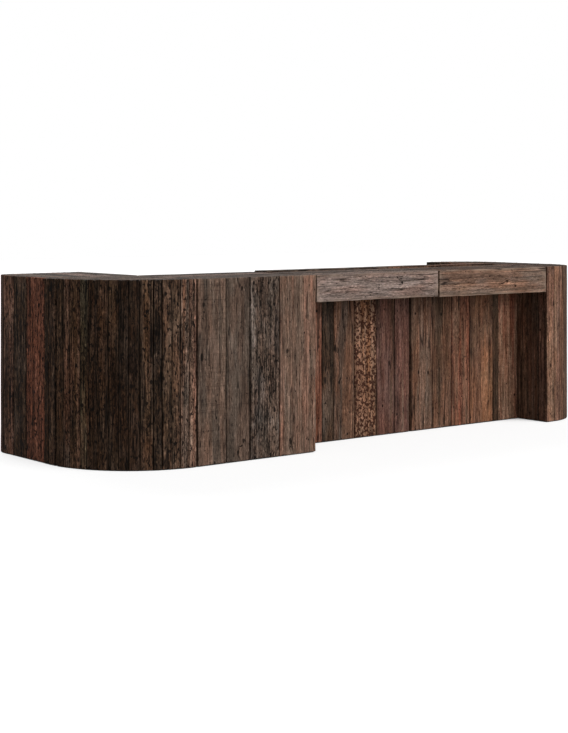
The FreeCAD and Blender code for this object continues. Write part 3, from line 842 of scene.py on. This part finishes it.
def nylon_material(name):
    """Dull dark moulded plastic."""
    roughness = (0.42, 0.62)
    sh = Shader(name)
    place = sh.node("ShaderNodeTexCoord").outputs["Object"]
    dust = sh.pattern(place, "dust")
    colour = sh.mix(sh.ramp(dust, *levels["dust"], 0.0, dust_cover), *nylon_tones)
    sh.bump(sh.pattern(place, "pebble"), *nylon_relief)
    return sh.finish(colour, sh.ramp(dust, *noise_span, *roughness))


def node_body(name):
    """The body that a node rides on."""
    for side in ("left_drawer", "right_drawer"):
        if name.startswith(side):
            return side
    return "counter"


def ordered_solids(name):
    """A node's solids in the order of its run."""
    order_axis, order_sign = dressed[name][2:4]
    order = "xyz".index(order_axis)
    return sorted(split_solids(name), key=lambda solid: order_sign * solid[0][:, order].mean())


def board_way(name, points):
    """The way that a board looks; on a round corner it is the way out from the corner's middle."""
    way = np.array(dressed[name][0], dtype=float)
    if np.count_nonzero(way) == 1:
        return way
    low, high = (np.array(corner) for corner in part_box(name))
    look = (points.mean(axis=0) - np.where(way > 0, low, high)) * np.abs(way)
    return look / np.linalg.norm(look)


def board_fields(name, index, draw, uvd, edges, grime_and_shade):
    """What the material reads at the points of a board."""
    key = (name, index)
    grain = uvd + draw.uniform(0, grain_shift, 3)
    change = draw.uniform(*tone_change)
    tone_names = dressed[name][4]
    main, streak = tone_names[index % len(tone_names)].split()
    rub_and_highlight = rubbed_and_highlit_edges.get(key, plain_rub)[0]
    strength = rough_boards.get(key, figure.get(name, plain_figure))
    dirt_and_shade, worn, behind = edges.T
    # The sides and back keep their full painted shade, even on boards with rubbed rims
    dirt_and_shade = dirt_and_shade * grime_and_shade * (1.0 - rub_and_highlight * (1.0 - behind))
    marks = [weathered.get(key, plain_weather), sawn.get(key, plain_saw), wormy.get(key, 0.0)]
    size = (len(uvd), 1)
    return {
        "grain": grain,
        "surface": np.tile(marks, size),
        "tone": np.tile([change * c for c in linear(main)] + [1.0], size),
        "tone_two": np.tile([change * c for c in linear(streak)] + [1.0], size),
        "rim": np.stack((dirt_and_shade, worn * rub_and_highlight, np.full(len(uvd), strength)), axis=1),
        "knot": from_knot(uvd, knots.get(key, [])),
    }


def worn_mesh(name, boards):
    """One mesh from boards that are each given as points, faces and fields."""
    faces = []
    start = 0
    for points, outlines, _ in boards:
        faces += [[start + k for k in outline] for outline in outlines]
        start += len(points)
    mesh = bpy.data.meshes.new(name)
    mesh.from_pydata(np.concatenate([points for points, _, _ in boards]).tolist(), [], faces)
    for title in boards[0][2]:
        values = np.concatenate([fields[title] for _, _, fields in boards])
        kind, field = ("FLOAT_COLOR", "color") if title.startswith("tone") else ("FLOAT_VECTOR", "vector")
        mesh.attributes.new(title, kind, "POINT").data.foreach_set(field, values.ravel())
    mesh.shade_smooth()
    mesh.set_sharp_from_angle(angle=math.radians(sharp_angle))
    return mesh


def dress(name, material, slot, rough, grime_and_shade):
    """Worn boards in the place of a node's solids, as one piece."""
    along = axes[dressed[name][1]]
    boards = []
    for index, (points, triangles) in enumerate(ordered_solids(name)):
        draw = np.random.default_rng([seed, index] + [ord(letter) for letter in name])
        way = board_way(name, points)
        seams = open_seams.get((name, index), (0.0, 0.0))
        wear = rubbed_and_highlit_edges.get((name, index), plain_rub)[1]
        place, outlines, uvd, edges = board(points, triangles, way, along, draw, rough, seams, wear)
        boards.append((place, outlines, board_fields(name, index, draw, uvd, edges, grime_and_shade)))
    mesh = worn_mesh(name + "_worn", boards)
    mesh.materials.append(material)
    piece = bpy.data.objects.new(name + "_worn", mesh)
    bpy.context.scene.collection.objects.link(piece)
    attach(piece, node_body(name))
    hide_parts(name)


old_boards = board_material("old_boards", contrast=0.55, gloss=0.05)
bar_top = board_material("bar_top", contrast=0.5, gloss=0.026)
for name in dressed:
    if name.endswith("top_boards"):
        dress(name, bar_top, "bar_top_timber", *top_wear)
    elif name.endswith("staves"):
        dress(name, old_boards, "reclaimed_timber", *stave_wear)
    else:
        dress(name, old_boards, "reclaimed_timber", *board_wear)


def rail_heights(name):
    """Top of a face frame's bottom rail and underside of its top rail."""
    heights = np.unique(np.concatenate([points[:, 2] for points, _ in split_solids(name)]))
    bottom_high, top_low = heights.tolist()[2:4]  # after the feet and the bottom rail's underside
    return bottom_high, top_low


# Sheets, posts and hardware keep their solids
plain_sheets = {axis: sheet_material("sheet_" + axis, axis, ply_tone) for axis in "xyz"}
dark_sheet = sheet_material("dark_sheet", "y", dark_tone)
stained_frame = frame_material("stained_frame", frame_tone, *rail_heights("pod_face_frame"))
bay_frame = frame_material("bay_frame", frame_tone, *rail_heights("left_bay_face_frame"))
upright_sheet = frame_material("upright_sheet", ply_tone, cad_box[0][2], cad_box[1][2])
zinc = metal_material("zinc")
nylon = nylon_material("nylon")


def thin_axis(name):
    """The axis across a node's sheets: the one with the least mean thickness."""
    sizes = [np.ptp(points, axis=0) for points, _ in split_solids(name)]
    return "xyz"[np.mean(sizes, axis=0).argmin()]


for name, node in frame["nodes"].items():
    if name in dressed:
        continue
    if name in ("connector_bolts", "connector_nuts", "drawer_tracks") or name.endswith("_rails"):
        material = zinc
    elif name == "floor_glides":
        material = nylon
    elif name.endswith("bay_face_frame"):
        material = bay_frame
    elif name.endswith("face_frame"):
        material = stained_frame
    elif name == "wing_lining":
        material = upright_sheet
    elif name in ("plinth_boards", "sole_blocks", "end_posts"):
        material = dark_sheet
    else:
        material = plain_sheets[thin_axis(name)]
    for slot in node.material_slots:
        slot.material = material


def seen_directly(tree):
    """1 where the background itself is seen: by the camera, in a reflection or through glass."""
    path = tree.nodes.new("ShaderNodeLightPath")
    level = path.outputs["Is Camera Ray"]
    for ray in ("Is Glossy Ray", "Is Transmission Ray"):
        either = tree.nodes.new("ShaderNodeMath")
        either.operation = "MAXIMUM"
        tree.links.new(level, either.inputs[0])
        tree.links.new(path.outputs[ray], either.inputs[1])
        level = either.outputs[0]
    return level


# Floor, light and camera
scene = bpy.context.scene
floor_size = 60.0
floor_grey = (0.35, 0.35, 0.35, 1.0)
floor_roughness = 0.9
floor_gloss = 0.1
floor_glow = 0.76  # keeps the open floor white where it is seen
painted_shade_reach = 0.5  # metres from the object within which the floor's glow fades, as a painted shadow
painted_shade_levels = (0.12, 0.42)
world_fill = 0.16
lamps = {  # way the light goes, softness in degrees, strength
    "key": ((-0.38, 0.85, -0.36), 60.0, 3.5),
    "left_fill": ((1.0, 0.2, -0.35), 60.0, 0.35),
    "rear_fill": ((-0.4, -1.0, -0.7), 50.0, 1.6),
}

floor_mesh = bpy.data.meshes.new("floor")
half = floor_size / 2
floor_corners = [(-half, -half, 0), (half, -half, 0), (half, half, 0), (-half, half, 0)]
floor_mesh.from_pydata(floor_corners, [], [(0, 1, 2, 3)])
floor = bpy.data.objects.new("floor", floor_mesh)
scene.collection.objects.link(floor)
paper = Shader("paper_floor")
paper.surface.inputs["Base Color"].default_value = floor_grey
paper.surface.inputs["Roughness"].default_value = floor_roughness
paper.surface.inputs["Specular IOR Level"].default_value = floor_gloss
paper.surface.inputs["Emission Color"].default_value = white
# The glow fades where ambient occlusion finds the object near: a painted shadow on the floor under and
# round it
floor_occlusion = paper.node("ShaderNodeAmbientOcclusion")
floor_occlusion.inputs["Distance"].default_value = painted_shade_reach
glow_with_painted_shade = paper.ramp(floor_occlusion.outputs["AO"], *painted_shade_levels, 0.0, floor_glow)
glow = paper.math("MULTIPLY", seen_directly(paper.tree), glow_with_painted_shade)
paper.put(paper.surface.inputs["Emission Strength"], glow)
floor_mesh.materials.append(paper.material)

world = bpy.data.worlds.new("studio")
scene.world = world
world.use_nodes = True
tree = world.node_tree
level = tree.nodes.new("ShaderNodeMapRange")
tree.links.new(seen_directly(tree), level.inputs["Value"])
level.inputs["To Min"].default_value = world_fill
level.inputs["To Max"].default_value = 1.0
tree.links.new(level.outputs[0], tree.nodes["Background"].inputs["Strength"])
tree.nodes["Background"].inputs["Color"].default_value = white


def sun(name, way, softness, strength):
    """A soft distant lamp that shines along a direction."""
    lamp = bpy.data.lights.new(name, "SUN")
    lamp.angle = math.radians(softness)
    lamp.energy = strength
    item = bpy.data.objects.new(name, lamp)
    item.rotation_euler = Vector(way).to_track_quat("-Z", "Y").to_euler()
    scene.collection.objects.link(item)


for name, (way, softness, strength) in lamps.items():
    sun(name, way, softness, strength)

camera_data = bpy.data.cameras.new("camera")
camera_data.lens = camera_lens
camera_data.sensor_width = camera_sensor
camera_data.shift_y = camera_shift_up
camera = bpy.data.objects.new("camera", camera_data)
camera.location = camera_place
camera.rotation_euler = (math.radians(camera_tilt), 0.0, math.radians(camera_heading))
scene.collection.objects.link(camera)
scene.camera = camera
scene.view_settings.view_transform = "Standard"
